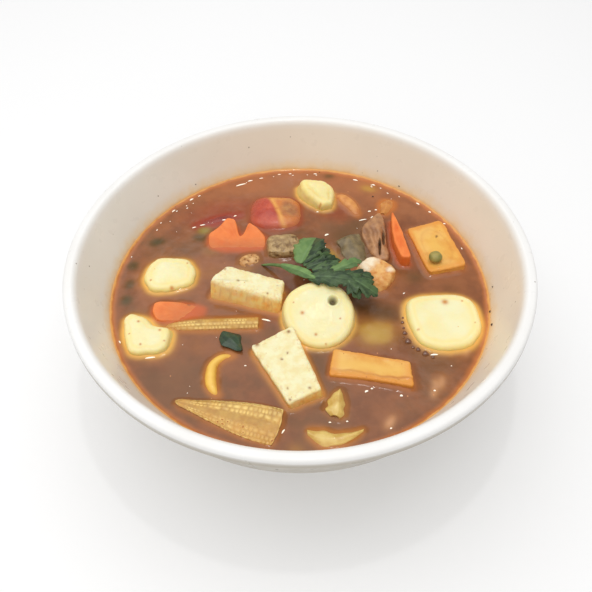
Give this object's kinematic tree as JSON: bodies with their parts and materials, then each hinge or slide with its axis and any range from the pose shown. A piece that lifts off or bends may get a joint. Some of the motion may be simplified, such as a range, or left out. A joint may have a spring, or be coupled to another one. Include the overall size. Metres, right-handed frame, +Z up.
{
  "type": "tom yum soup in a bowl",
  "caption": "Round white bowl of cloudy orange-brown tom yum soup with pale slices, tofu, carrot, baby corn, pepper, tomato, mushroom and a green herb sprig on top.",
  "frame": {"origin": "bottom centre of the bowl, on the surface it stands on", "axes": "+Z up; -Y towards the viewer's side of the table; +X to the viewer's right"},
  "size_m": [0.19, 0.19, 0.068],
  "materials": {
    "white_melamine": "gloss white with small grey specks",
    "broth": "wet, cloudy orange-brown",
    "soft_white_slice": "moist, cream white",
    "tofu": "moist, cream",
    "fried_tofu": "fried, golden brown",
    "carrot": "moist, orange",
    "baby_corn": "moist, pale yellow",
    "yellow_pepper": "moist, yellow",
    "tomato": "wet, red",
    "soaked_gluten": "spongy, tan and grey",
    "mushroom": "wet, brown",
    "onion": "translucent, pale green-grey",
    "herb": "soft green leaf",
    "pea": "moist, olive green"
  },
  "bodies": {
    "root": {"baby_corn_front": "baby_corn", "baby_corn_left": "baby_corn", "bowl": "white_melamine", "broth": "broth", "carrot_flower": "carrot", "carrot_slice_edge": "carrot", "carrot_slice_left": "carrot", "curved_petal": "onion", "dark_leaf_bit": "herb", "fried_chunk": "fried_tofu", "fried_tofu_front": "fried_tofu", "fried_tofu_right": "fried_tofu", "gluten_crumb": "soaked_gluten", "gluten_piece": "soaked_gluten", "green_strip": "onion", "herb_sprig": "herb", "mushroom_piece": "mushroom", "onion_petal": "onion", "orange_petal": "onion", "pale_petal": "onion", "pea_on_tofu": "pea", "red_pepper_strip": "tomato", "round_slice_centre": "soft_white_slice", "round_slice_right": "soft_white_slice", "tofu_block_front": "tofu", "tofu_block_left": "tofu", "tomato_half": "tomato", "white_chunk_back": "soft_white_slice", "white_chunk_front": "soft_white_slice", "white_chunk_left": "soft_white_slice", "yellow_pepper_strip": "yellow_pepper", "yellow_strip_back": "yellow_pepper"}
  },
  "joints": []
}
